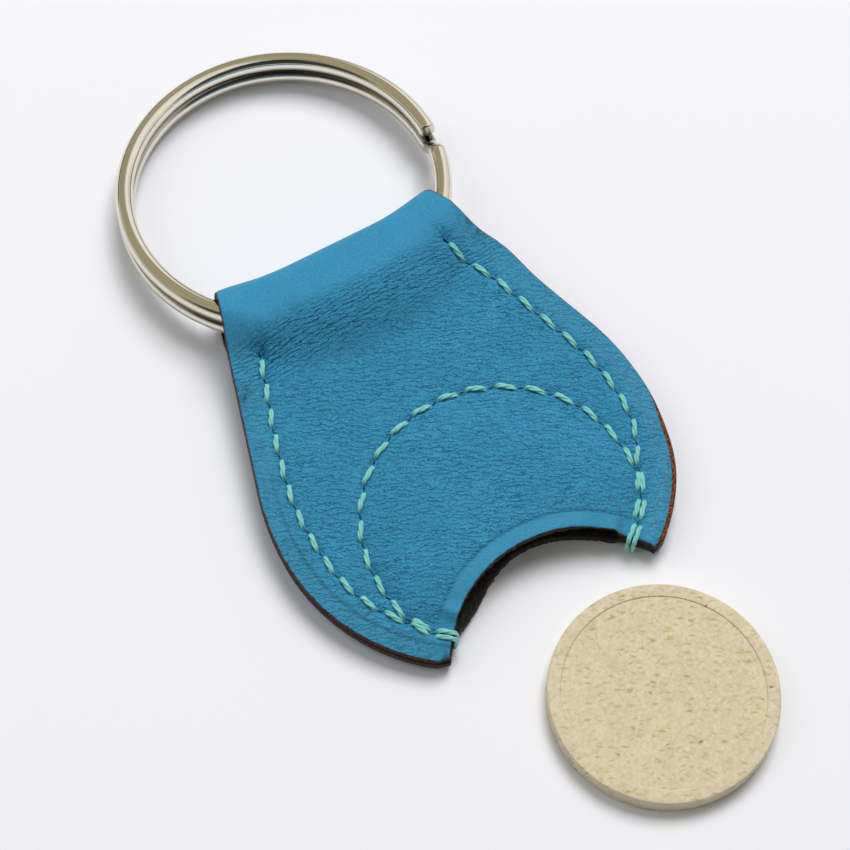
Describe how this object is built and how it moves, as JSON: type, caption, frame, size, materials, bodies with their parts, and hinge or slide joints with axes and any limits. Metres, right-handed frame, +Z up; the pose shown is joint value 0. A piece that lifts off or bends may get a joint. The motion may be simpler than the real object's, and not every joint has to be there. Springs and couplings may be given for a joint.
{
  "type": "trolley coin keyring",
  "caption": "Folded leather key fob with a stitched coin pocket, a thumb notch and a split ring, shown with its trolley coin drawn out.",
  "frame": {"origin": "on the flat underside of the coin pocket, which lies on the table, under the middle of the seated coin", "axes": "+Y along the fob's middle line towards the split ring, +Z up off the table, +X across the fob"},
  "size_m": [0.0426, 0.0984, 0.008],
  "materials": {
    "leather": "semi-matt dyed leather with burnished edges",
    "thread": "waxed twisted thread",
    "ring_metal": "polished plating",
    "coin_plastic": "matt speckled bioplastic"
  },
  "bodies": {
    "fob": {"leather_strap": "leather", "left_edge_thread": "thread", "right_edge_thread": "thread", "pocket_thread": "thread"},
    "ring": {"split_ring": "ring_metal"},
    "coin": {"trolley_coin": "coin_plastic"}
  },
  "joints": [
    {"name": "ring_spin", "type": "hinge", "parent": "fob", "child": "ring", "pos_m": [0, 0.04448, 0.00332], "axis": [0, 0.0698, 0.9976], "continuous": true},
    {"name": "coin_slide", "type": "slide", "parent": "fob", "child": "coin", "axis": [-0.1861, 0.9813, 0.0488], "range_m": [0, 0.02461], "deforming": ["leather_strap", "left_edge_thread", "right_edge_thread"]}
  ]
}
